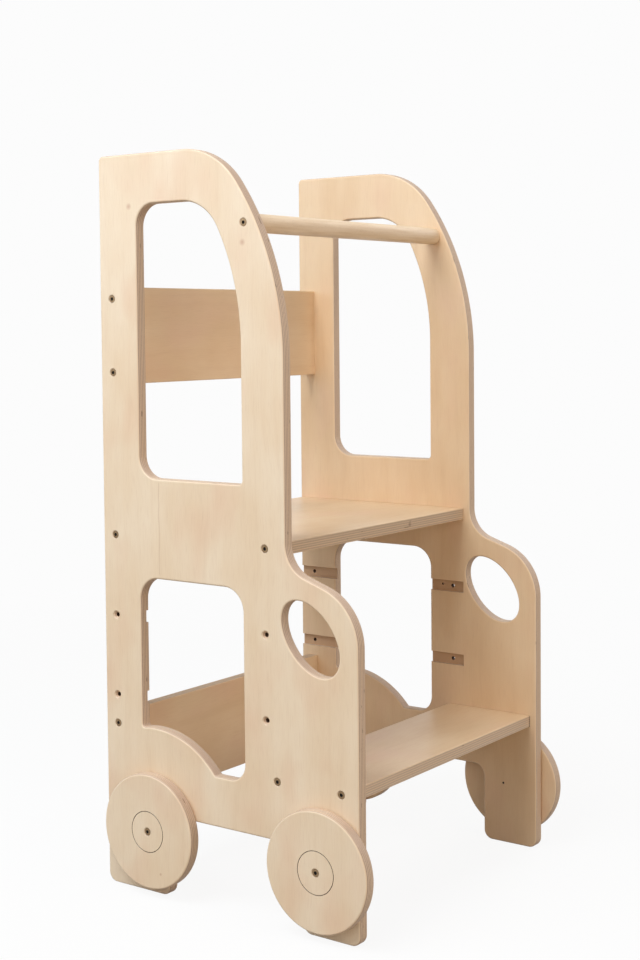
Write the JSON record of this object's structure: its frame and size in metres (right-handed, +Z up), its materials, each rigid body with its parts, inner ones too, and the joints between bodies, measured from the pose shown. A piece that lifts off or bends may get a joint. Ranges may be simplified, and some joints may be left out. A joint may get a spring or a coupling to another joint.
{
  "type": "toddler kitchen helper stool",
  "caption": "Truck-shaped plywood standing tower for a toddler, with a height-adjustable platform, a front step, back boards, a round handrail and turning wheel discs.",
  "frame": {"origin": "centre of the footprint on the floor: x = 0 between the side panels, y = 0 halfway from their rear edges to the front of the front wheels, z = 0 at the soles of the feet", "axes": "+Z up, -Y forward to the bonnet and step, +X across to the right side panel"},
  "size_m": [0.454, 0.403, 0.9],
  "materials": {
    "birch_plywood": "clear satin lacquer on pale birch plywood with visible plies on the edges",
    "beech_dowel": "clear satin lacquer on solid wood",
    "bronze_screw": "dark bronze plating"
  },
  "bodies": {
    "frame": {"side_panel_left": "birch_plywood", "side_panel_right": "birch_plywood", "platform": "birch_plywood", "step_board": "birch_plywood", "upper_back_rail": "birch_plywood", "lower_back_board": "birch_plywood", "handrail_dowel": "beech_dowel", "wheel_hub_rear_left": "birch_plywood", "wheel_screw_rear_left": "bronze_screw", "wheel_hub_rear_right": "birch_plywood", "wheel_screw_rear_right": "bronze_screw", "wheel_hub_front_left": "birch_plywood", "wheel_screw_front_left": "bronze_screw", "wheel_hub_front_right": "birch_plywood", "wheel_screw_front_right": "bronze_screw", "handrail_screw_left": "bronze_screw", "handrail_screw_right": "bronze_screw", "upper_rail_screws_left": "bronze_screw", "upper_rail_screws_right": "bronze_screw", "platform_screws_left": "bronze_screw", "platform_screws_right": "bronze_screw", "lower_board_screws_left": "bronze_screw", "lower_board_screws_right": "bronze_screw", "step_screws_left": "bronze_screw", "step_screws_right": "bronze_screw"},
    "wheel_rear_left_ring": {"wheel_rear_left": "birch_plywood"},
    "wheel_rear_right_ring": {"wheel_rear_right": "birch_plywood"},
    "wheel_front_left_ring": {"wheel_front_left": "birch_plywood"},
    "wheel_front_right_ring": {"wheel_front_right": "birch_plywood"}
  },
  "joints": [
    {"name": "wheel_rear_left_spin", "type": "hinge", "parent": "frame", "child": "wheel_rear_left_ring", "pos_m": [-0.2195, 0.1215, 0.08], "axis": [1, 0, 0], "continuous": true},
    {"name": "wheel_rear_right_spin", "type": "hinge", "parent": "frame", "child": "wheel_rear_right_ring", "pos_m": [0.2195, 0.1215, 0.08], "axis": [1, 0, 0], "continuous": true},
    {"name": "wheel_front_left_spin", "type": "hinge", "parent": "frame", "child": "wheel_front_left_ring", "pos_m": [-0.2195, -0.1315, 0.08], "axis": [1, 0, 0], "continuous": true},
    {"name": "wheel_front_right_spin", "type": "hinge", "parent": "frame", "child": "wheel_front_right_ring", "pos_m": [0.2195, -0.1315, 0.08], "axis": [1, 0, 0], "continuous": true}
  ]
}
